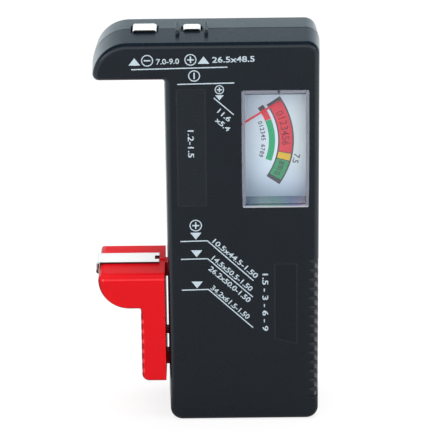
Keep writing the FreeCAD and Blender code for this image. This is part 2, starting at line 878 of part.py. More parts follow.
def bent_lead(points):
    # Round wire along straight runs joined by tangent arcs
    edges = []
    start = points[0]
    for index in range(1, len(points) - 1):
        here = points[index]
        to_last = (points[index - 1] - here).normalize()
        to_next = (points[index + 1] - here).normalize()
        half = to_last.getAngle(to_next) / 2
        reach = lead_bend / math.tan(half)
        middle = here + (to_last + to_next).normalize() * (lead_bend / math.sin(half) - lead_bend)
        edges.append(Part.LineSegment(start, here + to_last * reach).toShape())
        edges.append(Part.Arc(here + to_last * reach, middle, here + to_next * reach).toShape())
        start = here + to_next * reach
    edges.append(Part.LineSegment(start, points[-1]).toShape())
    section = Part.Wire(Part.makeCircle(lead_radius, points[0], points[1] - points[0]))
    return Part.Wire(edges).makePipeShell([section], True, False)


def straight_lead(start, end):
    return Part.makeCylinder(lead_radius, start.distanceToPoint(end), start, end - start)


def make_negative_link():
    return straight_lead(V(negative_foot_x, parting, cell_foot_top),
                         V(negative_foot_x, parting, foot_bottom))


def make_negative_lead():
    run = foot_bottom - lead_below_contact
    drop = board_left + 2 * lead_radius
    return bent_lead([V(negative_foot_x, lead_y, foot_bottom), V(negative_foot_x, lead_y, run),
                      V(drop, lead_y, run), V(drop, lead_y, board_top)])


def make_nine_volt_positive_lead():
    return straight_lead(V(positive_foot_x, lead_y, foot_bottom), V(positive_foot_x, lead_y, board_top))


def make_main_rail_lead():
    return straight_lead(V(rail_right, lead_y, main_rail_lead_height),
                         V(board_left, lead_y, main_rail_lead_height))


def make_mini_rail_lead():
    return straight_lead(V(rail_right, lead_y, mini_rail_lead_height),
                         V(board_left, lead_y, mini_rail_lead_height))


# Contacts
def bent_contact(x0, x1, face_z, foot_z, depth, shoulder, tail):
    # Strip bent into a bridge: flat face, two legs through the wall, a foot clinched on each leg;
    # the right-hand foot runs on backwards as a solder tail
    up = 1 if face_z > foot_z else -1
    y0 = parting - depth / 2
    y1 = parting + depth / 2
    inner_radius = shoulder - contact_thickness
    outline = plate([(x0, foot_z, 0), (x1, foot_z, 0),
                     (x1, face_z, shoulder), (x0, face_z, shoulder)], y0, y1)
    under = face_z - up * contact_thickness
    room = plate([(x0 + contact_thickness, foot_z - up * overshoot, 0),
                  (x1 - contact_thickness, foot_z - up * overshoot, 0),
                  (x1 - contact_thickness, under, inner_radius),
                  (x0 + contact_thickness, under, inner_radius)], y0 - overshoot, y1 + overshoot)
    bridge = outline.cut(room)
    low = min(foot_z, foot_z + up * contact_thickness)
    feet = []
    for leg, way, end in ((x0, -1, y1), (x1, 1, y1 + tail)):
        inside = leg - way * contact_thickness
        outside = leg + way * contact_foot
        feet.append(box(min(inside, outside), max(inside, outside), y0, end, low, low + contact_thickness))
    return join([bridge] + feet)


def make_nine_volt_negative_contact():
    return bent_contact(negative_x - negative_width / 2, negative_x + negative_width / 2,
                        parting_top + contact_rise, foot_bottom, negative_depth,
                        contact_shoulder, contact_tail)


def make_nine_volt_positive_contact():
    return bent_contact(positive_x - positive_width / 2, positive_x + positive_width / 2,
                        parting_top + contact_rise, foot_bottom, positive_depth,
                        contact_shoulder, contact_tail)


def make_cell_negative_contact():
    return bent_contact(cell_contact_left, cell_contact_right,
                        parting_under - cell_contact_drop, cell_foot_top, cell_contact_depth,
                        cell_contact_shoulder, 0)


def rail(z0, z1):
    return box(rail_left, rail_right, parting - rail_front_reach, parting + rail_back_reach, z0, z1)


def make_main_contact_rail():
    return rail(main_rail_bottom, main_rail_top)


def make_mini_cell_rail():
    return rail(mini_rail_bottom, mini_rail_top)


# Cell clamp
def make_slider():
    block = plate([(slider_right, slider_top, 0),
                   (slider_left, slider_top, slider_corner),
                   (slider_left, slider_head_bottom, slider_head_height - slider_corner),
                   (slider_stem_left, slider_head_bottom, slider_inner_corner),
                   (slider_stem_left, slider_bottom, slider_foot_corner),
                   (slider_right, slider_bottom, 0)], slider_front, slider_back)
    edges = [edge for edge in rim_edges(block, (slider_front, slider_back))
             if abs(edge.BoundBox.Center.x - slider_right) > hair]
    block = block.makeFillet(min(slider_edge, slider_corner - fillet_margin), edges)
    crown = box(slider_left - overshoot, slider_right + overshoot, slider_front, slider_back,
                slider_bottom - overshoot, slider_top)
    top_edges = [edge for edge in rim_edges(crown, (slider_front, slider_back))
                 if abs(edge.BoundBox.Center.z - slider_top) < hair]
    block = block.common(crown.makeFillet(slider_top_edge, top_edges))
    tab_half = slot_half_width - tab_clearance
    tabs = [box(slider_right - overshoot, guide_left + guide_thickness / 2,
                parting - tab_half, parting + tab_half, low, high) for low, high in tab_spans]
    guide = box(guide_left, guide_right, parting - guide_half_width, parting + guide_half_width,
                min(low for low, high in tab_spans) - guide_margin,
                max(high for low, high in tab_spans) + guide_margin)
    ridge_middle = slider_top + ridge_height - ridge_radius
    ridge = Part.makeCylinder(ridge_radius, slider_right - strip_right - ridge_gap,
                              V(strip_right + ridge_gap, slider_middle, ridge_middle), V(1, 0, 0))
    slider = join([block, guide, ridge] + tabs)
    half = strip_width / 2 + strip_channel_clearance
    neck_half = strip_neck_width / 2 + strip_channel_clearance
    notch_half = strip_notch_width / 2
    neck_x = slider_right - strip_neck_start
    channel = box(slider_left - overshoot, neck_x + strip_channel_clearance, slider_middle - half,
                  slider_middle + half, strip_low, channel_top)
    neck = box(neck_x, guide_right + overshoot, parting - neck_half, parting + neck_half,
               strip_low, channel_top)
    pit = box(notch_left, strip_right, slider_middle - notch_half, slider_middle + notch_half,
              slider_top - pit_depth, slider_top + overshoot)
    grooves = []
    groove_x = slider_stem_left - slider_groove_radius + slider_groove_depth
    for index in range(slider_rib_count):
        z = slider_rib_top - index * slider_rib_pitch
        grooves.append(rod(groove_x, z, slider_front - overshoot, slider_back + overshoot,
                           slider_groove_radius))
    return slider.cut([channel, neck, pit] + grooves)


def make_slider_contact_strip():
    # Over the head, round its end, back through the channel and down to the wiper
    t = strip_thickness
    outer_left = strip_inner_left - t
    neck_x = slider_right - strip_neck_start
    clip = plate([(strip_right, strip_top, 0), (outer_left, strip_top, strip_fold + t),
                  (outer_left, strip_low, strip_fold + t), (neck_x, strip_low, 0),
                  (neck_x, strip_high, 0), (strip_inner_left, strip_high, strip_fold),
                  (strip_inner_left, strip_under, strip_fold), (strip_right, strip_under, 0)],
                 slider_middle - strip_width / 2, slider_middle + strip_width / 2)
    wiper_left = wiper_right - t
    wiper_end = strip_low - wiper_length
    tongue = plate([(neck_x - overshoot, strip_high, 0), (wiper_right, strip_high, wiper_bend + t),
                    (wiper_right, wiper_end, 0), (wiper_left, wiper_end, 0),
                    (wiper_left, strip_low, wiper_bend), (neck_x - overshoot, strip_low, 0)],
                   parting - strip_neck_width / 2, parting + strip_neck_width / 2)
    notch_half = strip_notch_width / 2
    notch = box(notch_left, strip_right + overshoot, slider_middle - notch_half, slider_middle + notch_half,
                strip_under - t, strip_top + t)
    return join([clip, tongue]).cut(notch)


nodes = {
    "front_shell": make_front_shell,
    "rear_shell": make_rear_shell,
    "case_screws": make_case_screws,
    "meter_window": make_meter_window,
    "dial_plate": make_dial_plate,
    "meter_base": make_meter_base,
    "yoke_ring": make_yoke_ring,
    "core_magnet": make_core_magnet,
    "core_spacers": make_core_spacers,
    "front_bridge": make_front_bridge,
    "front_jewel_screw": make_front_jewel_screw,
    "rear_jewel_screw": make_rear_jewel_screw,
    "front_hairspring": make_front_hairspring,
    "rear_hairspring": make_rear_hairspring,
    "moving_coil": make_moving_coil,
    "coil_former": make_coil_former,
    "pivot_pins": make_pivot_pins,
    "pointer": make_pointer,
    "balance_weights": make_balance_weights,
    "meter_terminals": make_meter_terminals,
    "resistor_board": make_resistor_board,
    "nine_volt_resistor": make_nine_volt_resistor,
    "cell_load_resistor": make_cell_load_resistor,
    "mini_cell_resistor": make_mini_cell_resistor,
    "nine_volt_negative_contact": make_nine_volt_negative_contact,
    "nine_volt_positive_contact": make_nine_volt_positive_contact,
    "cell_negative_contact": make_cell_negative_contact,
    "main_contact_rail": make_main_contact_rail,
    "mini_cell_rail": make_mini_cell_rail,
    "negative_link": make_negative_link,
    "negative_lead": make_negative_lead,
    "nine_volt_positive_lead": make_nine_volt_positive_lead,
    "main_rail_lead": make_main_rail_lead,
    "mini_rail_lead": make_mini_rail_lead,
    "slider": make_slider,
    "slider_contact_strip": make_slider_contact_strip,
}

os.makedirs("parts", exist_ok=True)
for name, make in nodes.items():
    shape = make()
    shape.exportStep("parts/" + name + ".step")
    print(name, len(shape.Solids), "solid", round(shape.Volume, 2), "mm3", shape.isValid())
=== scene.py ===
import json
import math
import bmesh
import bpy
from mathutils import Matrix, Vector


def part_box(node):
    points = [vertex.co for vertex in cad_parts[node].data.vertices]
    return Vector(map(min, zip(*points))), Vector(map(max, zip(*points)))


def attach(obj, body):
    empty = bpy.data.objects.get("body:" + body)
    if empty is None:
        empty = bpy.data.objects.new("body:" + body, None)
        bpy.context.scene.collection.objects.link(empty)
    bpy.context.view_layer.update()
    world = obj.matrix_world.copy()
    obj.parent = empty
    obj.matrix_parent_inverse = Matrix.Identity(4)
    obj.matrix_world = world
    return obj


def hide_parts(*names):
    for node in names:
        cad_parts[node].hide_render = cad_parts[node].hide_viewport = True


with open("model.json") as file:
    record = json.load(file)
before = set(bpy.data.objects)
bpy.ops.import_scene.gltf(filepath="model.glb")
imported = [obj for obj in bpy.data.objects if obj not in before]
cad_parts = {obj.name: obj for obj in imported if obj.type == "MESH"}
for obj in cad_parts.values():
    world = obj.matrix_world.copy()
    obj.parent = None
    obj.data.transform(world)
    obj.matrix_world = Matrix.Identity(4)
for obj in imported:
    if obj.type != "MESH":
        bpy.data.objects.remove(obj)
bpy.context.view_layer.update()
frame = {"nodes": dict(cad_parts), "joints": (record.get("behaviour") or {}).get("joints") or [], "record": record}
mm = 0.001

# places that everything else is set from
shellLow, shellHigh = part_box("front_shell")
dialLow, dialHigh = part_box("dial_plate")
windowLow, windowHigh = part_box("meter_window")
sliderLow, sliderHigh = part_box("slider")
stripLow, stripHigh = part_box("slider_contact_strip")
swing = next(joint for joint in frame["joints"] if joint["name"] == "pointer_swing")
pivot = Vector(swing["pos_m"])
record = frame["record"]
nodeBody = {node: body for body, nodes in record["behaviour"]["bodies"].items() for node in nodes}
nodeSlot = {part["node"]: part["material_slot"] for part in record["subparts"]}


# Camera, where the photograph was taken from

cameraSet = {
    "place": (-6.71, -620.79, 297.30),  # mm
    "pitch": 21.178,  # degrees below level
    "yaw": -0.084,
    "roll": -0.665,
    "lens": 201.55,
    "sensor": 36.0,
    "nearest": 0.01,  # metres
}


def setCamera():
    pitch, yaw, roll = (math.radians(cameraSet[name]) for name in ("pitch", "yaw", "roll"))
    forward = math.cos(pitch)
    ahead = Vector((math.sin(yaw) * forward, math.cos(yaw) * forward, -math.sin(pitch)))
    level = Vector((math.cos(yaw), -math.sin(yaw), 0))
    upright = level.cross(ahead)
    across = level * math.cos(roll) + upright * math.sin(roll)
    upward = upright * math.cos(roll) - level * math.sin(roll)
    bpy.ops.object.camera_add()
    camera = bpy.context.object
    camera.name = "camera"
    turn = Matrix((across, upward, -ahead)).transposed().to_4x4()
    camera.matrix_world = Matrix.Translation(Vector(cameraSet["place"]) * mm) @ turn
    camera.data.lens = cameraSet["lens"]
    camera.data.sensor_width = cameraSet["sensor"]
    camera.data.clip_start = cameraSet["nearest"]
    bpy.context.scene.camera = camera


setCamera()
print("camera set, lens", cameraSet["lens"], "mm")


# Shader boards: a Reading is one socket, and maths on it adds the nodes

class Reading:
    def __init__(self, board, socket):
        self.board = board
        self.socket = socket

    def sum(self, operation, first, second):
        return self.board.node("ShaderNodeMath", {"operation": operation}, {0: first, 1: second})

    def __add__(self, other):
        return self.sum("ADD", self, other)

    def __radd__(self, other):
        return self.sum("ADD", other, self)

    def __sub__(self, other):
        return self.sum("SUBTRACT", self, other)

    def __rsub__(self, other):
        return self.sum("SUBTRACT", other, self)

    def __mul__(self, other):
        return self.sum("MULTIPLY", self, other)

    def __rmul__(self, other):
        return self.sum("MULTIPLY", other, self)

    def __lt__(self, other):
        return self.sum("LESS_THAN", self, other)

    def __gt__(self, other):
        return self.sum("GREATER_THAN", self, other)

    def __or__(self, other):
        return self.sum("MAXIMUM", self, other)

    def __and__(self, other):
        return self.sum("MINIMUM", self, other)

    def __mod__(self, other):  # runs up to the value and back again
        return self.sum("PINGPONG", self, other)

    def __abs__(self):
        return self.board.node("ShaderNodeMath", {"operation": "ABSOLUTE"}, {0: self})


class Board:
    def __init__(self, tree):
        self.tree = tree

    def node(self, kind, settings=None, sockets=None, out=0):
        made = self.tree.nodes.new(kind)
        for name, value in (settings or {}).items():
            if name == "stops":
                self.fillRamp(made.color_ramp, value)
            else:
                setattr(made, name, value)
        for name, value in (sockets or {}).items():
            self.feed(made.inputs[name], value)
        return Reading(self, made.outputs[out])

    def feed(self, socket, value):
        if isinstance(value, Reading):
            self.tree.links.new(value.socket, socket)
        else:
            socket.default_value = value

    def fillRamp(self, ramp, stops):
        for place, _ in stops[2:]:  # a new ramp has two stops already
            ramp.elements.new(place)
        for element, (place, colour) in zip(ramp.elements, stops):
            element.position = place
            element.color = (*colour, 1)

    def spot(self):  # object coordinates
        return self.node("ShaderNodeTexCoord", out="Object")

    def axes(self, vector):
        return [self.node("ShaderNodeSeparateXYZ", None, {0: vector}, out=axis) for axis in range(3)]

    def place(self, spot):  # the spot as three readings in millimetres
        return [part * (1 / mm) for part in self.axes(spot)]

    def facing(self):  # the surface's own direction, as three readings
        return self.axes(self.node("ShaderNodeTexCoord", out="Normal"))

    def noise(self, spot, size, detail=2.0, stretch=None):  # size of the speckle in millimetres
        if stretch:
            spot = self.node("ShaderNodeMapping", None, {0: spot, "Scale": stretch})
        sockets = {"Vector": spot, "Scale": 1 / (size * mm), "Detail": detail}
        return self.node("ShaderNodeTexNoise", None, sockets)

    def mix(self, share, first, second):
        colours = [value if isinstance(value, Reading) else (*value, 1) for value in (first, second)]
        sockets = {0: share, 6: colours[0], 7: colours[1]}
        return self.node("ShaderNodeMix", {"data_type": "RGBA"}, sockets, out=2)

    def ramp(self, share, stops):
        return self.node("ShaderNodeValToRGB", {"stops": stops}, {0: share})

    def spread(self, reading, low, high, start=0.0, end=1.0):  # carries low..high over to start..end
        sockets = {0: reading, 1: low, 2: high, 3: start, 4: end}
        return self.node("ShaderNodeMapRange", None, sockets)

    def near(self, distance, full, none):  # 1 up to one distance and 0 past the other
        sockets = {0: distance, 1: full, 2: none, 3: 1.0, 4: 0.0}
        return self.node("ShaderNodeMapRange", {"interpolation_type": "SMOOTHSTEP"}, sockets)

    def bump(self, height, depth):  # depth in millimetres
        return self.node("ShaderNodeBump", None, {"Distance": depth * mm, "Height": height})


def wear(board, shader, sockets):
    for name, value in sockets.items():
        board.feed(shader.inputs[name], value)


def newFinish(name, fixed):  # fixed: what is the same all over
    material = bpy.data.materials.new(name)
    material.use_nodes = True
    board = Board(material.node_tree)
    shader = material.node_tree.nodes["Principled BSDF"]
    wear(board, shader, fixed)
    return material, board, shader


def shaded(colour, factor):
    return tuple(channel * factor for channel in colour)


# Finishes; a pair of distances gives where paint counts in full and where it is gone

caseSet = {  # mm
    "front": 0.8,  # how far back the paint of the front reaches
    "panels": [  # the sunk panels; the bottom of the second falls to the right
        {"left": -17.5, "right": -9.9, "bottom": 64.3, "top": 97.3, "fall": 0.0,
         "shade": (0.0065, 0.011, 0.0165)},
        {"left": 8.6, "right": 14.6, "bottom": 24.8, "top": 46.95, "fall": 0.267,
         "shade": (0.002, 0.005, 0.01)},
    ],
    "inside": (-0.1, 0.0),
    # painted highlight along the rims of the panels
    "rim": (0.1, 0.3),
    "rimShare": 0.7,
    "rimColour": (0.017, 0.022, 0.028),
}
gripSet = {  # mm
    "left": 15.95,
    "fade": 3.0,  # width over which the grip comes in
    "top": 48.1,
    "over": 0.3,  # it still counts this far above its top
    "bottom": 6.8,
    "plain": 0.7,  # no groove this close to the bottom
    "ribs": 15,
    # painted shade in the grooves
    "groove": (0.1, 0.55),
    "grooveShare": 0.85,
    "grooveColour": (0.001, 0.001, 0.0015),
    "glintInset": 1.2,  # painted glints on the crests: in from the right side, and up from the groove
    "glintRise": 0.95,
    "glintWidth": (0.15, 0.5),
    "glintHeight": (0.4, 1.0),
    "glintShare": 0.9,
    "glintColour": (0.09, 0.095, 0.1),
    "ledgeRise": 0.1,  # painted light over the step at the lower end, against its dark reflection
    "ledge": (0.2, 0.4),
    "ledgeShare": 0.8,
    "ledgeLightColour": (0.016, 0.02, 0.024),
    "dull": 0.12,  # the grip is rougher than the rest
}


def caseDetail(board, tone, rough, x, y, z):
    # painted highlights on the rims of the panels, and each sunk panel has its own tone; the grip has painted
    # shade in its grooves, painted glints on its crests and painted light over the step at its lower end
    onFront = y < shellLow.y / mm + caseSet["front"]
    for panel in caseSet["panels"]:
        foot = panel["bottom"] - panel["fall"] * (x - panel["left"])
        outside = (panel["left"] - x) | (x - panel["right"]) | (z - panel["top"]) | (foot - z)
        tone = board.mix(board.near(outside, *caseSet["inside"]) * onFront, tone, panel["shade"])
        # painted highlight along each panel's rim
        rim = board.near(abs(outside), *caseSet["rim"]) * onFront
        tone = board.mix(rim * caseSet["rimShare"], tone, caseSet["rimColour"])
    grip = gripSet
    halfPitch = (grip["top"] - grip["bottom"]) / grip["ribs"] / 2
    rise = z - grip["bottom"]
    across = board.spread(x, grip["left"], grip["left"] + grip["fade"])
    inGrip = (z > grip["bottom"]) * (z < grip["top"] + grip["over"]) * across
    # painted shade in the grip's grooves
    groove = board.near(rise % halfPitch, *grip["groove"])
    groove = groove * inGrip * (z > grip["bottom"] + grip["plain"])
    tone = board.mix(groove * grip["grooveShare"], tone, grip["grooveColour"])
    # painted glints on the crests near the right side
    spot = board.near(abs(x - (shellHigh.x / mm - grip["glintInset"])), *grip["glintWidth"])
    spot = spot * board.near((rise - grip["glintRise"]) % halfPitch, *grip["glintHeight"]) * inGrip
    tone = board.mix(spot * grip["glintShare"], tone, grip["glintColour"])
    # painted light over the step at the grip's lower end
    ledge = board.near(abs(rise - grip["ledgeRise"]), *grip["ledge"]) * across
    tone = board.mix(ledge * grip["ledgeShare"], tone, grip["ledgeLightColour"])
    return tone, rough + grip["dull"] * inGrip


sliderSet = {  # mm, and directions from -1 to 1
    "fold": 0.9,  # the strip folds round the slider's left side
    "width": 18.25,
    "stem": 6.75,
    "front": 1.2,  # how far back the paint of the front reaches
    "rim": (0.68, 0.35),  # painted shade on edges of the front that turn left or down
    "rimShare": 0.85,
    "topRimShade": (0.8, 0.2),  # painted shade on edges of the top that turn back or left
    "topRimUp": (0.1, 0.98),  # and up, between these
    "topRimShare": 0.6,
    "rimColour": (0.22, 0.003, 0.007),
    "dashes": (30.0, 12.9, 2.96),  # painted highlights on the finger ribs: first and last height, pitch
    "dashInset": 0.55,  # from the stem's left side
    "dashWidth": (0.104, 0.364),
    "dashLength": (0.4, 0.8),
    "dashShare": 0.8,
    "line": 1.75,  # painted highlight line, below the top
    "lineWidth": (0.08, 0.3),
    "lineStart": (0.0, 0.6),  # how it runs out, left of the dot
    "lineShare": 0.4,
    "dot": 1.35,  # painted glint, in from the left end
    "dotWidth": (0.15, 0.42),
    "highlightColour": (0.98, 0.075, 0.095),
    # painted shade in the pit under the strip's notch: from the right side, to either side of the middle, and from
    # the top
    "pit": {"left": 2.85, "right": 1.55, "half": 1.25, "top": 0.05, "floor": 3.0},
    "pitShadeShare": 0.9,
    "pitShadeColour": (0.01, 0.001, 0.001),
}


def sliderDetail(board, tone, rough, x, y, z):
    # painted shade makes the edges that turn away from the light deep red, painted highlights sit on the crests
    # and along the upper rim, and painted shade darkens the small pit under the strip's notch
    size = sliderSet
    left, top = sliderLow.x / mm, sliderHigh.z / mm
    right = stripLow.x / mm + size["fold"] + size["width"]
    onFront = y < sliderLow.y / mm + size["front"]
    aside, behind, up = board.facing()
    # painted shade on edges that turn away from the light
    rim = board.near((0 - aside) | (0 - up), *size["rim"]) * onFront
    lowest, highest = size["topRimUp"]
    topRimShade = board.near(behind | (0 - aside), *size["topRimShade"]) * (up > lowest) * (up < highest)
    share = rim * size["rimShare"] | topRimShade * size["topRimShare"]
    tone = board.mix(share, tone, size["rimColour"])
    # painted highlights: dashes on the finger ribs, a line along the upper rim and a dot at its left end
    first, last, pitch = size["dashes"]
    dash = board.near(abs(x - (right - size["stem"] + size["dashInset"])), *size["dashWidth"])
    dash = dash * board.near((z - first) % (pitch / 2), *size["dashLength"])
    dash = dash * (z > last) * (z < first + size["dashLength"][1])
    fromLine = abs(z - (top - size["line"]))
    dotPlace = left + size["dot"]
    line = board.near(fromLine, *size["lineWidth"]) * board.near(dotPlace - x, *size["lineStart"])
    dot = board.near(abs(x - dotPlace) | fromLine, *size["dotWidth"])
    highlight = line * size["lineShare"] | dot | dash * size["dashShare"]
    tone = board.mix(highlight * onFront, tone, size["highlightColour"])
    # painted shade in the pit under the strip's notch
    pit = size["pit"]
    inPit = (x > right - pit["left"]) * (x < right - pit["right"]) * (abs(y) < pit["half"])
    inPit = inPit * (z < top - pit["top"]) * (z > top - pit["floor"])
    return board.mix(inPit * size["pitShadeShare"], tone, size["pitShadeColour"]), rough


resistorSet = {  # mm
    "stripes": {  # from left to right
        "nine_volt_resistor": ("brown", "black", "orange", "gold"),
        "cell_load_resistor": ("brown", "black", "black", "gold"),
        "mini_cell_resistor": ("orange", "orange", "red", "gold"),
    },
    "colours": {
        "black": (0.012, 0.012, 0.012),
        "brown": (0.1, 0.035, 0.015),
        "red": (0.45, 0.02, 0.02),
        "orange": (0.62, 0.16, 0.02),
        "gold": (0.5, 0.34, 0.08),
        "tin": (0.55, 0.55, 0.53),
    },
    "places": (-2.55, -1.1, 0.1, 2.55),  # of the stripes, from the middle of the body
    "half": (0.288, 0.32),
    "row": 0.1,  # room above and below each resistor
    "body": 3.22,  # half its length; wire past that
}


def resistorDetail(board, tone, rough, x, y, z):
    # painted stripes on the bodies; the wire ends are tinned
    size = resistorSet
    for node, stripes in size["stripes"].items():
        low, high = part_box(node)
        middle = (low + high) / 2 / mm
        onRow = (z > low.z / mm - size["row"]) * (z < high.z / mm + size["row"])
        for place, colour in zip(size["places"], stripes):
            stripe = board.near(abs(x - (middle.x + place)), *size["half"])
            tone = board.mix(stripe * onRow, tone, size["colours"][colour])
        wire = (abs(x - middle.x) > size["body"]) * onRow
        tone = board.mix(wire, tone, size["colours"]["tin"])
    return tone, rough


plasticSet = {  # sizes of the speckles in mm
    "cloud": 11.0,
    "cloudDetail": 3.0,
    "cloudRough": 0.1,
    "pitRough": 0.06,
    "dust": 0.5,
    "dustDetail": 4.0,
    "dustFrom": (0.68, 0.8),
    "dustShare": 0.06,
    "dustColour": (0.4, 0.4, 0.4),
}


def mouldedPlastic(name, colour, contrast, roughness, grain, depth, gloss, detail=None):
    material, board, shader = newFinish(name, {"Specular IOR Level": gloss})
    size = plasticSet
    spot = board.spot()
    cloud = board.noise(spot, size["cloud"], size["cloudDetail"])
    pits = board.noise(spot, grain)
    dust = board.spread(board.noise(spot, size["dust"], size["dustDetail"]), *size["dustFrom"])
    tone = board.mix(cloud, shaded(colour, 1 - contrast), shaded(colour, 1 + contrast))
    rough = roughness - size["cloudRough"] / 2 + size["cloudRough"] * cloud + size["pitRough"] * pits
    if detail:
        tone, rough = detail(board, tone, rough, *board.place(spot))
    wear(board, shader, {
        "Base Color": board.mix(dust * size["dustShare"], tone, size["dustColour"]),
        "Roughness": rough,
        "Normal": board.bump(pits, depth),
    })
    return material


plateSet = {  # sizes in mm
    "lineDetail": 3.0,
    "bloom": 3.2,
    "bloomDetail": 3.0,
    "bloomPale": 0.4,  # share of the stain that goes to the pale side
    "rough": (0.45, 0.7, 0.4),  # shares of the roughness: all over, by the lines, by the bloom
    "edgeFacing": (0.4, 0.75),  # a face that looks this far to the front or back gets painted shade
    "foldWidth": 1.0,  # the strip's fold, from its left side
    "foldDrop": (1.9, 2.6),  # the painted shade is lifted from the top down to here
    "foldShadeLift": 0.8,
}


def plateMetal(name, colour, roughness, grain, stretch, depth, stain=0.12, metal=1.0, edgeShadeColour=None):
    material, board, shader = newFinish(name, {"Metallic": metal})
    size = plateSet
    spot = board.spot()
    lines = board.noise(spot, grain, size["lineDetail"], stretch)
    bloom = board.noise(spot, size["bloom"], size["bloomDetail"])
    tone = board.mix(bloom, shaded(colour, 1 - stain), shaded(colour, 1 + stain * size["bloomPale"]))
    if edgeShadeColour:  # painted shade on faces that look to the front or back, lifted from the strip's fold
        x, _, z = board.place(spot)
        foldLift = board.near(stripHigh.z / mm - z, *size["foldDrop"])
        foldLift = (x < stripLow.x / mm + size["foldWidth"]) * foldLift
        edgeShade = board.spread(abs(board.facing()[1]), *size["edgeFacing"])
        tone = board.mix(edgeShade * (1 - size["foldShadeLift"] * foldLift), tone, edgeShadeColour)
    overall, byLines, byBloom = size["rough"]
    wear(board, shader, {
        "Base Color": tone,
        "Roughness": roughness * (overall + byLines * lines + byBloom * bloom),
        "Normal": board.bump(lines, depth),
    })
    return material


paintSet = {  # sizes in mm
    "gloss": 0.4,
    "cloud": 2.5,
    "cloudDetail": 3.0,
    "peel": 0.12,
    "peelRough": 0.1,
    "depth": 0.004,
}


def rollerPaint(name, colour, contrast, roughness):
    size = paintSet
    material, board, shader = newFinish(name, {"Specular IOR Level": size["gloss"]})
    spot = board.spot()
    cloud = board.noise(spot, size["cloud"], size["cloudDetail"])
    peel = board.noise(spot, size["peel"])
    wear(board, shader, {
        "Base Color": board.mix(cloud, shaded(colour, 1 - contrast), shaded(colour, 1 + contrast)),
        "Roughness": roughness + size["peelRough"] * peel - size["peelRough"] / 2,
        "Normal": board.bump(peel, size["depth"]),
    })
    return material


dialPaintSet = {  # sizes in mm
    "gloss": 0.4,
    "cloud": 3.0,
    "cloudDetail": 3.0,
    "peel": 0.12,
    "rough": 0.5,
    "peelRough": 0.1,
    "depth": 0.003,
    "rightEnd": 3.0,  # palest this far from the window's right side
    "across": 0.5,  # painted light and shade: what makes it paler or darker, and how much
    "middle": 0.5,
    "below": 0.45,
    "mottle": 0.12,
    "tones": [(0.0, (0.52, 0.64, 0.79)), (0.5, (0.7, 0.83, 0.98)), (1.0, (0.83, 0.935, 1.0))],
}


def dialPaint():
    size = dialPaintSet
    material, board, shader = newFinish("dial_white", {"Specular IOR Level": size["gloss"]})
    spot = board.spot()
    x, _, z = board.place(spot)
    cloud = board.noise(spot, size["cloud"], size["cloudDetail"])
    peel = board.noise(spot, size["peel"])
    low, high = dialLow.z / mm, dialHigh.z / mm
    # painted light and shade: palest to the right and across the middle, darker to the left, towards top and
    # bottom, and most below
    across = board.spread(x, windowLow.x / mm, windowHigh.x / mm - size["rightEnd"])
    away = abs(board.spread(z, low, high, -1.0, 1.0))
    below = board.spread(z, (low + high) / 2, low)
    light = across * size["across"] + size["middle"] * (1 - away * away)
    light = light - size["below"] * below * below + (cloud - 0.5) * size["mottle"]
    wear(board, shader, {
        "Base Color": board.ramp(light, size["tones"]),
        "Roughness": size["rough"] + size["peelRough"] * peel,
        "Normal": board.bump(peel, size["depth"]),
    })
    return material


windowSet = {  # mm
    "gloss": 0.5,
    "flange": 1.2,  # the tabs above and below that the front shell hides
    "wall": 0.8,
    "wallPale": 0.96,  # share of the wall that is painted pale
    "face": 0.6,  # depth of the front face
    "lowEdge": 0.5,  # the painted highlight along the bottom
    "lowOver": 0.1,  # the coloured band comes this far past the lower wall on the face
    "topLine": 0.16,  # painted shade line below the top wall, and its half width
    "topHalf": 0.15,
    "sideHalf": 0.07,  # painted shade lines along the side walls
    "sideShare": 0.6,
    "gate": 0.9,  # gate mark in the top edge, right of the middle, and its radius
    "mark": 0.42,
    "lowBand": 0.05,  # half the thickness of the coloured band painted on the lower wall
    "lowBandBack": 1.0,  # inside, it starts this far behind the face
    "cloud": 2.2,
    "cloudDetail": 3.0,
    "mottle": 0.12,
    "rough": (0.1, 0.08),  # all over, and by the cloud
    "haze": 0.05,
    "hazeBy": (0.4, 0.5, 0.7),  # all over, by the cloud, and towards the right
    "cover": {"ends": 0.86, "dark": 0.8, "lowBand": 0.9},  # how much of what is behind they hide
    "colours": {
        "clear": (0.75, 0.87, 1.0),
        "wall": (0.22, 0.225, 0.275),
        "lowEdge": (0.5, 0.52, 0.56),
        "dark": (0.03, 0.03, 0.04),
    },
    "rainbow": [
        (0.0, (0.13, 0.18, 0.27)), (0.06, (0.12, 0.18, 0.3)), (0.3, (0.2, 0.32, 0.34)),
        (0.55, (0.13, 0.27, 0.27)), (0.75, (0.14, 0.18, 0.33)), (0.88, (0.25, 0.22, 0.36)),
        (1.0, (0.34, 0.33, 0.4)),
    ],
}


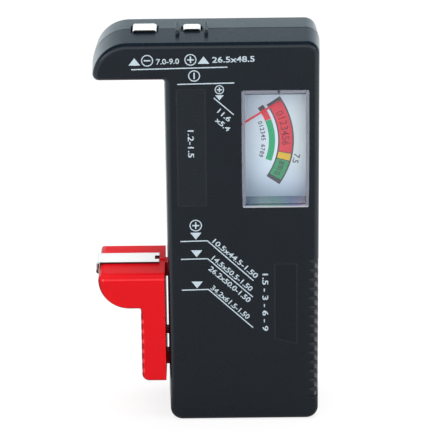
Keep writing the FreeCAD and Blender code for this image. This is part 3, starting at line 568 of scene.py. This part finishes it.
def clearWindow():
    # clear in the middle; its walls, seen end on, are painted pale as a stand-in for the light they carry, with a
    # painted highlight along the bottom and painted shade lines where they meet the face
    size, colours, cover = windowSet, windowSet["colours"], windowSet["cover"]
    material, board, shader = newFinish("window_clear", {"Specular IOR Level": size["gloss"]})
    spot = board.spot()
    x, y, z = board.place(spot)
    left, right = windowLow.x / mm, windowHigh.x / mm
    low, high = windowLow.z / mm + size["flange"], windowHigh.z / mm - size["flange"]
    wall = size["wall"]
    fromSide = (x - left) & (right - x)
    fromTop = high - z
    fromLow = z - low
    edge = fromSide & fromTop & fromLow
    cloud = board.noise(spot, size["cloud"], size["cloudDetail"])
    onFace = y < windowLow.y / mm + size["face"]
    between = (fromSide > wall) * onFace
    onLow = (fromLow > size["lowEdge"]) * (fromLow < wall + size["lowOver"]) * between
    # the walls seen end on are painted pale in place of the light they carry; painted shade lines run below the
    # top wall and along the sides
    ends = (edge < wall * size["wallPale"]) * onFace
    topLine = (abs(fromTop - (wall + size["topLine"])) < size["topHalf"]) * between
    sideLine = (abs(fromSide - wall) < size["sideHalf"]) * onFace
    gate = Vector(((left + right) / 2 + size["gate"], windowLow.y / mm, high - wall / 2)) * mm
    fromGate = board.node("ShaderNodeVectorMath", {"operation": "DISTANCE"},
                          {0: spot, 1: gate}, out="Value")
    dark = topLine | sideLine * size["sideShare"] | (fromGate < size["mark"] * mm)
    lowBand = (abs(fromLow - wall) < size["lowBand"]) * (y > windowLow.y / mm + size["lowBandBack"]) | onLow
    along = board.spread(x, left, right)
    rainbow = board.ramp(along + (cloud - 0.5) * size["mottle"], size["rainbow"])
    pale = board.mix(fromLow < size["lowEdge"], colours["wall"], colours["lowEdge"])
    colour = board.mix(lowBand, board.mix(ends, colours["clear"], pale), rainbow)
    allOver, byCloud, byRight = size["hazeBy"]
    haze = onFace * size["haze"] * (allOver + byCloud * cloud + byRight * along)
    wear(board, shader, {
        "Base Color": board.mix(dark, colour, colours["dark"]),
        "Roughness": size["rough"][0] + size["rough"][1] * cloud,
        "Alpha": ends * cover["ends"] | dark * cover["dark"] | lowBand * cover["lowBand"] | haze,
    })
    return material


plastics = {  # colour and its spread, roughness, size and depth of the pits in mm, gloss, own paint
    "case_black": ((0.003, 0.007, 0.0125), 0.1, 0.25, 0.16, 0.003, 0.36, caseDetail),
    "base_black": ((0.014, 0.014, 0.015), 0.15, 0.6, 0.2, 0.02, 0.3),
    "slider_red": ((0.69, 0.0045, 0.0095), 0.03, 0.3, 0.3, 0.003, 0.1, sliderDetail),
    "lead_black": ((0.02, 0.02, 0.021), 0.2, 0.5, 0.3, 0.01, 0.35),
    "lead_red": ((0.55, 0.02, 0.02), 0.1, 0.46, 0.3, 0.01, 0.4),
    "board_brown": ((0.34, 0.2, 0.085), 0.2, 0.6, 0.25, 0.01, 0.4),
    "resistor_tan": ((0.62, 0.46, 0.28), 0.08, 0.3, 0.4, 0.005, 0.5, resistorDetail),
}
metals = {  # colour, roughness, size of the lines in mm, how they are squeezed, depth in mm
    "contact_plate": ((0.97, 0.97, 0.965), 0.07, 0.08, (1, 12, 12), 0.0003,
                      0.03, 0.5, (0.05, 0.045, 0.045)),  # and stain, metal, colour of the painted shade on edges
    "rail_plate": ((0.72, 0.72, 0.7), 0.3, 0.08, (12, 12, 1), 0.003),
    "yoke_iron": ((0.42, 0.42, 0.43), 0.38, 0.08, (1, 9, 1), 0.004),
    "magnet_grey": ((0.16, 0.16, 0.17), 0.5, 0.2, (1, 1, 1), 0.01),
    "spacer_brass": ((0.72, 0.55, 0.26), 0.35, 0.08, (1, 8, 1), 0.004),
    "bridge_alloy": ((0.7, 0.7, 0.71), 0.36, 0.08, (8, 8, 1), 0.003),
    "jewel_brass": ((0.76, 0.6, 0.3), 0.26, 0.06, (1, 10, 1), 0.002),
    "spring_bronze": ((0.66, 0.47, 0.25), 0.3, 0.05, (1, 14, 1), 0.002),
    "former_alloy": ((0.75, 0.75, 0.76), 0.34, 0.06, (1, 8, 8), 0.002),
    "pivot_steel": ((0.6, 0.6, 0.62), 0.16, 0.05, (1, 10, 1), 0.001),
    "screw_steel": ((0.55, 0.55, 0.57), 0.34, 0.07, (1, 1, 6), 0.004),
    "coil_copper": ((0.66, 0.28, 0.14), 0.3, 0.09, (12, 1, 12), 0.02),
}
finishes = {
    "pointer_red": rollerPaint("pointer_red", (0.78, 0.02, 0.05), 0.05, 0.4),
    "dial_white": dialPaint(),
    "window_clear": clearWindow(),
}
finishes.update({name: mouldedPlastic(name, *look) for name, look in plastics.items()})
finishes.update({name: plateMetal(name, *look) for name, look in metals.items()})
for node, thing in frame["nodes"].items():
    thing.data.materials.clear()
    thing.data.materials.append(finishes[nodeSlot[node]])
print("finishes:", len(finishes))


# Modelling tools: each step works on the one piece that is chosen

weldGap = 1e-7  # metres


def choose(piece):
    bpy.ops.object.select_all(action="DESELECT")
    piece.select_set(True)
    bpy.context.view_layer.objects.active = piece


def openMesh(piece, kind="FACE"):
    choose(piece)
    bpy.ops.object.mode_set(mode="EDIT")
    bpy.ops.mesh.select_mode(type=kind)
    bpy.ops.mesh.select_all(action="SELECT")


def closeMesh():
    bpy.ops.object.mode_set(mode="OBJECT")


def pick(piece, kind, test):  # in an open mesh, selects the verts, edges or faces that pass
    bpy.ops.mesh.select_all(action="DESELECT")
    mesh = bmesh.from_edit_mesh(piece.data)
    for part in getattr(mesh, kind):
        part.select_set(test(part))
    bmesh.update_edit_mesh(piece.data)


def modify(piece, kind, **settings):
    choose(piece)
    step = piece.modifiers.new(kind.lower(), kind)
    for name, value in settings.items():
        setattr(step, name, value)
    bpy.ops.object.modifier_apply(modifier=step.name)


def settle(piece):  # puts the place, turn and size into the mesh
    choose(piece)
    bpy.ops.object.transform_apply(location=True, rotation=True, scale=True)


def thicken(piece, depth):  # a flat piece drawn out from front to back, closed all round
    openMesh(piece)
    bpy.ops.mesh.extrude_region_move(TRANSFORM_OT_translate={"value": (0, depth, 0)})
    bpy.ops.mesh.select_all(action="SELECT")
    bpy.ops.mesh.remove_doubles(threshold=weldGap)
    bpy.ops.mesh.normals_make_consistent(inside=False)
    closeMesh()


def joined(pieces, name):
    bpy.ops.object.select_all(action="DESELECT")
    for piece in pieces:
        piece.select_set(True)
    bpy.context.view_layer.objects.active = pieces[0]
    bpy.ops.object.join()
    pieces[0].name = name
    return pieces[0]


def fit(piece, material, body):
    piece.data.materials.clear()
    piece.data.materials.append(material)
    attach(piece, body)


# Pieces that follow a solid of the frame: merged, with broken edges and smooth curves

edgeBreak = {  # mm
    "slider": 0.12,
    "slider_contact_strip": 0.06,
    "nine_volt_negative_contact": 0.06,
    "nine_volt_positive_contact": 0.06,
    "cell_negative_contact": 0.06,
    "main_contact_rail": 0.05,
    "mini_cell_rail": 0.05,
    "case_screws": 0.08,
    "pointer": 0.03,
    "front_shell": 0.05,
    "rear_shell": 0.05,
    "meter_window": 0.05,
}
skinSet = {
    "weld": 2e-6,  # metres
    "flat": 0.4,  # degrees; faces that differ by less become one
    "sharp": 38.0,  # degrees; edges that turn by more are broken
    "rounds": 2,
}


def dress(node):
    piece = bpy.data.objects.new(node + "_skin", frame["nodes"][node].data.copy())
    bpy.context.collection.objects.link(piece)
    sharp = math.radians(skinSet["sharp"])
    openMesh(piece)
    bpy.ops.mesh.customdata_custom_splitnormals_clear()
    bpy.ops.mesh.remove_doubles(threshold=skinSet["weld"])
    bpy.ops.mesh.dissolve_limited(angle_limit=math.radians(skinSet["flat"]))
    closeMesh()
    modify(piece, "BEVEL", width=edgeBreak[node] * mm, segments=skinSet["rounds"],
           limit_method="ANGLE", angle_limit=sharp, harden_normals=True)
    choose(piece)
    bpy.ops.object.shade_smooth_by_angle(angle=sharp)
    modify(piece, "WEIGHTED_NORMAL", keep_sharp=True)
    fit(piece, finishes[nodeSlot[node]], nodeBody[node])
    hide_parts(node)


for node in edgeBreak:
    dress(node)
print("dressed solids:", len(edgeBreak))


# Printing on the front

inkSet = {  # mm
    "height": 0.03,  # how far the ink stands on the plastic
    "sink": 0.008,
    "line": 0.3,
    "ring": 0.27,
    "ringSides": 48,
    "armReach": 0.56,  # a sign in a ring, against the ring's radius and line
    "armWidth": 1.35,
    "bold": 0.045,  # added round the figures
    "letter": 0.729,  # height of the built-in letters at size 1
    "curve": 4,  # steps of their curves
    "tilt": -1.0,  # the terminals' figures sit slightly turned, degrees
}
inkFront = shellLow.y - inkSet["height"] * mm
inkDepth = (inkSet["height"] + inkSet["sink"]) * mm
faceFront = (math.pi / 2, 0, 0)  # stands a flat primitive up


def inkPath(points, width=inkSet["line"]):
    # a pen stroke: a row of edges drawn out to the depth of the ink, then given its width
    bpy.ops.object.select_all(action="DESELECT")
    bpy.ops.mesh.primitive_plane_add(size=mm)
    stroke = bpy.context.object
    openMesh(stroke, "VERT")
    bpy.ops.mesh.merge(type="CENTER")
    corners = [Vector((x * mm, inkFront, z * mm)) for x, z in points]
    bpy.ops.transform.translate(value=corners[0])
    for last, following in zip(corners, corners[1:]):
        bpy.ops.mesh.extrude_vertices_move(TRANSFORM_OT_translate={"value": following - last})
    bpy.ops.mesh.select_all(action="SELECT")
    bpy.ops.mesh.extrude_edges_move(TRANSFORM_OT_translate={"value": (0, inkDepth, 0)})
    closeMesh()
    modify(stroke, "SOLIDIFY", thickness=width * mm, offset=0, use_even_offset=True)
    return stroke


def inkRing(x, z, radius, width):
    bpy.ops.object.select_all(action="DESELECT")
    bpy.ops.mesh.primitive_circle_add(vertices=inkSet["ringSides"], radius=(radius - width / 2) * mm,
                                      rotation=faceFront, location=(x * mm, inkFront, z * mm))
    ring = bpy.context.object
    settle(ring)
    openMesh(ring, "EDGE")
    bpy.ops.mesh.extrude_edges_move(TRANSFORM_OT_translate={"value": (0, inkDepth, 0)})
    closeMesh()
    modify(ring, "SOLIDIFY", thickness=width * mm, offset=0, use_even_offset=True)
    return ring


def inkTriangle(x, z, width, height):  # z is the base; a height below nought points down
    bpy.ops.object.select_all(action="DESELECT")
    bpy.ops.mesh.primitive_circle_add(vertices=3, radius=mm, fill_type="NGON", rotation=faceFront,
                                      location=(x * mm, inkFront, (z + height / 3) * mm))
    mark = bpy.context.object
    mark.scale = (width / math.sqrt(3), height / 1.5, 1)  # as added, it is root 3 wide and 1.5 high
    settle(mark)
    thicken(mark, inkDepth)
    return mark


def inkPlus(x, z, reach, width, arms):
    # a small square whose sides are drawn out to the arms that are wanted
    middle = Vector((x * mm, inkFront, z * mm))
    bpy.ops.object.select_all(action="DESELECT")
    bpy.ops.mesh.primitive_plane_add(size=width * mm, rotation=faceFront, location=middle)
    mark = bpy.context.object
    settle(mark)
    for arm in arms:
        way = Vector((arm[0], 0, arm[1]))
        side = Vector((-way.z, 0, way.x))

        def facesWay(edge):  # the square's own side, and not that of another arm
            corners = [(v.co - middle) / (width * mm) for v in edge.verts]
            return all(c.dot(way) > 0.4 and abs(c.dot(side)) < 0.6 for c in corners)

        openMesh(mark, "EDGE")
        pick(mark, "edges", facesWay)
        bpy.ops.mesh.extrude_edges_move(
            TRANSFORM_OT_translate={"value": way * (reach - width / 2) * mm})
        closeMesh()
    thicken(mark, inkDepth)
    return mark


def inkWords(words, x, z, size, turn,
             level=inkFront, depth=inkDepth, bold=inkSet["bold"], align=0.0):
    # figures fill a place of size wide and high that stands on (x, z); turn runs clockwise from level
    bpy.ops.object.select_all(action="DESELECT")
    bpy.ops.object.text_add()
    figures = bpy.context.object
    figures.data.body = words
    figures.data.size = size[1] * mm / inkSet["letter"]
    figures.data.offset = bold * mm
    figures.data.resolution_u = inkSet["curve"]
    bpy.ops.object.convert(target="MESH")
    figures = bpy.context.object
    left, right = (end(v.co.x for v in figures.data.vertices) for end in (min, max))
    openMesh(figures, "VERT")
    bpy.ops.transform.translate(value=(-left - (right - left) * align, 0, 0))
    closeMesh()
    figures.scale = (size[0] * mm / (right - left) if size[0] else 1, 1, 1)
    figures.rotation_euler = (math.pi / 2, math.radians(turn), 0)
    figures.location = (x * mm, level, z * mm)
    settle(figures)
    thicken(figures, depth)
    return figures


crossArms = [(1, 0), (-1, 0), (0, 1), (0, -1)]
terminalPrint = {
    "underline": [(-29.37, 103.11), (-3.89, 103.54)],
    "minus": (-25.09, 105.54, 1.6),
    "plus": (-13.62, 105.66, 1.6),
    "arrows": [(-28.49, 104.24), (-10.17, 104.53)],
    "arrow": (3.1, 2.05),
    "figures": [("7.0-9.0", -22.7, 104.5, (6.1, 1.5)), ("26.5x48.5", -7.9, 104.8, (11.3, 1.62))],
}
cellTopPrint = {
    "bar": (-12.71, 101.19, 1.58),
    "line": [(-17.22, 98.88), (-2.07, 99.12)],
    "smallPlus": (-6.05, 97.27, 1.25),
    "smallRing": 0.24,
    "smallArrow": (-6.05, 95.73, 2.29, -1.4),
    "slant": [(-7.57, 94.98), (-2.3, 90.21)],
    "figures": [("11.6", -6.8, 91.0, (4.2, 1.4)), ("x5.4", -7.45, 88.6, (4.7, 1.4))],
}
cellLinePrint = {
    "plus": (-12.87, 58.57, 1.68),
    "arrow": (3.05, -2.0),
    "arrows": [(-12.86, 56.5), (-12.74, 51.32), (-12.7, 42.1)],
    "lines": [
        [(-17.08, 53.95), (-9.76, 54.1), (2.71, 42.2)],
        [(-17.02, 48.71), (-9.71, 48.83), (2.52, 37.33)],
        [(-16.93, 39.58), (-9.63, 39.73), (2.52, 28.16)],
    ],
    "figures": [("10.5x44.5-1.50", -8.53, 53.64, (16.0, 1.5)),
                ("14.5x50.5-1.50", -8.82, 48.7, (14.4, 1.5)),
                ("26.2x50.0-1.50", -9.68, 45.66, (14.8, 1.5)),
                ("34.2x61.5-1.50", -9.16, 39.91, (13.7, 1.5))],
    "slant": 42.6,  # degrees, of all figures along a slanting line
}
sidePrint = {
    "panelDepth": 0.15,  # the upper panel lies this far behind the front
    "voltage": ("1.2-1.5", -14.6, 85.9, (7.8, 1.6)),
    "range": ("1.5 - 3 - 6 - 9", 5.2, 44.2, (17.1, 1.6)),
    "turn": 90,
}


def circled(x, z, radius, arms, width=inkSet["ring"]):
    ring = inkRing(x, z, radius, width)
    sign = inkPlus(x, z, radius * inkSet["armReach"], width * inkSet["armWidth"], arms)
    return [ring, sign]


def printTerminals():
    size = terminalPrint
    marks = [inkPath(size["underline"])]
    marks += circled(*size["minus"], crossArms[:2]) + circled(*size["plus"], crossArms)
    marks += [inkTriangle(x, z, *size["arrow"]) for x, z in size["arrows"]]
    marks += [inkWords(*figures, inkSet["tilt"]) for figures in size["figures"]]
    return joined(marks, "terminal_print")


def printCellTop():
    size = cellTopPrint
    marks = [inkPath(size["line"]), inkPath(size["slant"])]
    marks += circled(*size["bar"], crossArms[2:])
    marks += circled(*size["smallPlus"], crossArms, size["smallRing"])
    marks += [inkTriangle(*size["smallArrow"])]
    marks += [inkWords(*figures, cellLinePrint["slant"]) for figures in size["figures"]]
    return joined(marks, "cell_top_print")


def printCellLines():
    size = cellLinePrint
    marks = circled(*size["plus"], crossArms)
    marks += [inkTriangle(x, z, *size["arrow"]) for x, z in size["arrows"]]
    marks += [inkPath(points) for points in size["lines"]]
    marks += [inkWords(*figures, size["slant"]) for figures in size["figures"]]
    return joined(marks, "cell_line_print")


def printSides():
    size = sidePrint
    panel = inkFront + size["panelDepth"] * mm
    marks = [inkWords(*size["voltage"], size["turn"], panel), inkWords(*size["range"], size["turn"])]
    return joined(marks, "side_print")


inkFinish = rollerPaint("front_ink", (0.5, 0.6, 0.67), 0.05, 0.45)
for marks in (printTerminals(), printCellTop(), printCellLines(), printSides()):
    fit(marks, inkFinish, "casing")
print("front print done")


# Dial: bands spun round the pivot, and figures that stand outwards from it

dialSet = {  # radii in mm, angles in degrees up from level
    "ink": 0.02,  # height of one layer
    "overlap": 1.3,  # each layer reaches a little into the one below
    "main": (18.1, 22.4),
    "inset": 0.4,  # the dark edge that shows round the colours
    "mainSpan": (34.0, -34.6),
    "red": (31.0, -9.7),
    "yellow": (-10.4, -15.7),
    "green": (-16.5, -31.2),
    "thin": (15.6, 17.3),
    "thinCap": (36.0, 32.0),
    "thinRed": (32.0, 20.7),
    "thinGreen": (20.5, -20.0),
    "arc": 1.5,  # degrees to a step of the spin, and the fewest steps
    "fewest": 6,
    "bold": 0.03,
    "mainFigures": (19.2, 2.0, 22.4, -4.13),  # foot radius, height, first angle, step
    "thinFigures": (13.6, 1.2, 20.9, -3.9),
    "warnFigure": ("7.5", 22.8, 1.7, -13.0),
    "goodFigures": [("8", 19.4, 1.65, -18.9), ("9", 19.4, 1.65, -22.3), ("10", 19.4, 1.65, -27.0)],
}
dialInk = {
    "dark": rollerPaint("dial_dark_ink", (0.075, 0.075, 0.09), 0.1, 0.5),
    "red": rollerPaint("dial_red_ink", (0.8, 0.045, 0.075), 0.05, 0.5),
    "yellow": rollerPaint("dial_yellow_ink", (0.82, 0.54, 0.03), 0.05, 0.5),
    "green": rollerPaint("dial_green_ink", (0.05, 0.36, 0.15), 0.06, 0.5),
    "thinGreen": rollerPaint("dial_bright_green_ink", (0.02, 0.43, 0.18), 0.05, 0.5),
    "deepRed": rollerPaint("dial_deep_red_ink", (0.36, 0.02, 0.035), 0.06, 0.5),
}
dialDepth = dialSet["ink"] * dialSet["overlap"] * mm


def dialLevel(layer):  # each ink layer lies on the last
    return dialLow.y - dialSet["ink"] * layer * mm


def dialBand(name, radii, span, layer, ink):
    bpy.ops.object.select_all(action="DESELECT")
    bpy.ops.mesh.primitive_plane_add(size=mm)
    band = bpy.context.object
    start = math.radians(span[0])
    turn = span[0] - span[1]
    outward = Vector((math.cos(start), 0, math.sin(start)))
    breadth = outward * (radii[1] - radii[0]) * mm
    centre = Vector((pivot.x, dialLevel(layer), pivot.z))
    steps = max(dialSet["fewest"], round(abs(turn) / dialSet["arc"]))
    openMesh(band, "VERT")
    bpy.ops.mesh.merge(type="CENTER")
    bpy.ops.transform.translate(value=centre + outward * radii[0] * mm)
    bpy.ops.mesh.extrude_vertices_move(TRANSFORM_OT_translate={"value": breadth})
    bpy.ops.mesh.select_all(action="SELECT")
    bpy.ops.mesh.spin(steps=steps, angle=math.radians(turn), center=centre, axis=(0, -1, 0))
    closeMesh()
    thicken(band, dialDepth)
    band.name = name
    fit(band, dialInk[ink], "casing")


def dialFigures(name, rows, layer, ink):
    marks = []
    for words, radius, height, angle in rows:
        way = math.radians(angle)
        x = pivot.x / mm + radius * math.cos(way)
        z = pivot.z / mm + radius * math.sin(way)
        marks.append(inkWords(words, x, z, (0, height), 90 - angle, dialLevel(layer), dialDepth,
                              dialSet["bold"], align=0.5))
    figures = joined(marks, name)
    fit(figures, dialInk[ink], "casing")


def figureRow(words, row):
    radius, height, first, step = row
    return [(word, radius, height, first + step * index)
            for index, word in enumerate(words) if word != " "]


def printDial():
    size = dialSet
    inner = (size["main"][0] + size["inset"], size["main"][1] - size["inset"])
    dialBand("dial_edge_band", size["main"], size["mainSpan"], 1, "dark")
    for colour in ("red", "yellow", "green"):
        dialBand("dial_" + colour + "_band", inner, size[colour], 2, colour)
    dialBand("dial_thin_cap", size["thin"], size["thinCap"], 1, "dark")
    dialBand("dial_thin_red_band", size["thin"], size["thinRed"], 1, "red")
    dialBand("dial_thin_green_band", size["thin"], size["thinGreen"], 1, "thinGreen")
    dialFigures("dial_red_figures", figureRow("0123456", size["mainFigures"]), 3, "deepRed")
    dialFigures("dial_green_figures", size["goodFigures"], 3, "dark")
    dialFigures("dial_warn_figure", [size["warnFigure"]], 1, "dark")
    dialFigures("dial_thin_figures", figureRow("012345 6789", size["thinFigures"]), 1, "dark")


printDial()
print("dial printed")


# Stage: a pale floor, a white room and soft lamps

floorSet = {  # mm, apart from the size in metres
    "size": 6.0,
    "colour": (0.9, 0.9, 0.9),
    "roughness": 0.9,
    "glow": 1.04,  # what is looked at shines by itself, so that it is white
    "glowShare": 0.8,
    # gloss sees less of the floor in front, on the camera's side, as past the end of a paper sweep
    "frontHalf": 25.0,
    "frontSpread": 0.1,
    "frontSoft": 10.0,
    "frontSoftSpread": 0.5,
    "frontDim": 0.7,
    # and more of it well to the sides, where it looks cooler
    "sideFrom": (60.0, 160.0),
    "sideGlow": 0.58,
    "sideTint": (0.93, 1.04, 1.09),
}
skySet = {
    "ambient": 0.25,
    # what gloss sees above the floor, by sine of the height: a pale wall with two white bands
    "wall": [
        (0.0, (0.95, 1.1, 1.18)), (0.16, (0.9, 1.05, 1.12)), (0.21, (0.66, 0.88, 0.98)),
        (0.278, (0.5, 0.65, 0.7)), (0.28, (1.1, 1.1, 1.1)), (0.298, (1.1, 1.1, 1.1)),
        (0.3, (0.47, 0.62, 0.67)), (0.365, (0.37, 0.51, 0.56)), (0.367, (1.1, 1.1, 1.1)),
        (0.39, (1.1, 1.1, 1.1)), (0.392, (0.32, 0.42, 0.46)), (0.5, (0.14, 0.18, 0.2)),
        (0.7, (0.06, 0.07, 0.08)), (1.0, (0.04, 0.05, 0.05)),
    ],
}
lampSet = {  # metres; the side lamps are small glints that only gloss shows
    "overhead": {"place": (0.0, 0.05, 0.75), "aim": (0.0, 0.0, 0.05), "size": (0.7, 0.7),
                 "power": 7.0, "gloss": False, "fill": True},
    "front": {"place": (-0.05, -0.85, 0.58), "aim": (0.0, 0.0, 0.08), "size": (2.0, 0.8),
              "power": 7.2, "gloss": True, "fill": True},
    "left": {"place": (-0.75, -0.6, 0.45), "aim": (0.0, 0.0, 0.08), "size": (0.25, 0.2),
             "power": 0.8, "gloss": True, "fill": False},
    "right": {"place": (0.75, -0.6, 0.45), "aim": (0.0, 0.0, 0.08), "size": (0.25, 0.2),
              "power": 0.8, "gloss": True, "fill": False},
}


def glossyRays(board):
    return board.node("ShaderNodeLightPath", out="Is Glossy Ray")


def seenRays(board):  # 1 for what the camera, a mirror or a clear piece looks at
    camera = board.node("ShaderNodeLightPath", out="Is Camera Ray")
    clear = board.node("ShaderNodeLightPath", out="Is Transmission Ray")
    return camera | glossyRays(board) | clear


def layFloor():
    size = floorSet
    bpy.ops.object.select_all(action="DESELECT")
    bpy.ops.mesh.primitive_plane_add(size=size["size"])
    floor = bpy.context.object
    floor.name = "floor"
    fixed = {"Base Color": (*size["colour"], 1), "Roughness": size["roughness"]}
    material, board, shader = newFinish("floor", fixed)
    x, y, _ = board.place(board.spot())
    ahead = (0 - y) | 0
    beside = abs(x) - size["frontHalf"] - ahead * size["frontSpread"]
    soft = ahead * size["frontSoftSpread"] + size["frontSoft"]
    inFront = board.near(beside, 0.0, soft) * (y < 0)
    aside = board.spread(abs(x), *size["sideFrom"])
    glossy = glossyRays(board)
    level = size["glow"] + glossy * (aside * size["sideGlow"] - inFront * size["frontDim"])
    tint = board.mix(glossy * aside, (1, 1, 1), size["sideTint"])
    tone = board.node("ShaderNodeVectorMath", {"operation": "SCALE"}, {0: tint, "Scale": level})
    glow = board.node("ShaderNodeEmission", None, {"Color": tone, "Strength": 1.0})
    plain = Reading(board, shader.outputs[0])
    share = seenRays(board) * size["glowShare"]
    both = board.node("ShaderNodeMixShader", None, {0: share, 1: plain, 2: glow})
    board.feed(material.node_tree.nodes["Material Output"].inputs["Surface"], both)
    floor.data.materials.append(material)


def paintSky():
    world = bpy.data.worlds.new("studio")
    bpy.context.scene.world = world
    world.use_nodes = True
    sky = Board(world.node_tree)
    background = world.node_tree.nodes["Background"]
    ambient = skySet["ambient"]
    way = sky.node("ShaderNodeTexCoord", out="Generated")
    height = sky.node("ShaderNodeSeparateXYZ", None, {0: way}, out=2)
    wall = sky.ramp(height, skySet["wall"])
    sky.feed(background.inputs["Color"], sky.mix(glossyRays(sky), (1, 1, 1), wall))
    sky.feed(background.inputs["Strength"], ambient + seenRays(sky) * (1 - ambient))


def hangLamps():
    for name, lamp in lampSet.items():
        place = Vector(lamp["place"])
        aim = (Vector(lamp["aim"]) - place).to_track_quat("-Z", "Y").to_euler()
        bpy.ops.object.light_add(type="AREA", location=place, rotation=aim)
        made = bpy.context.object
        made.name = name + "_lamp"
        made.visible_glossy = lamp["gloss"]
        made.visible_diffuse = lamp["fill"]
        made.data.energy = lamp["power"]
        made.data.shape = "RECTANGLE"
        made.data.size, made.data.size_y = lamp["size"]


layFloor()
paintSky()
hangLamps()
bpy.context.scene.view_settings.view_transform = "Standard"
print("stage: floor, sky and", len(lampSet), "lamps")
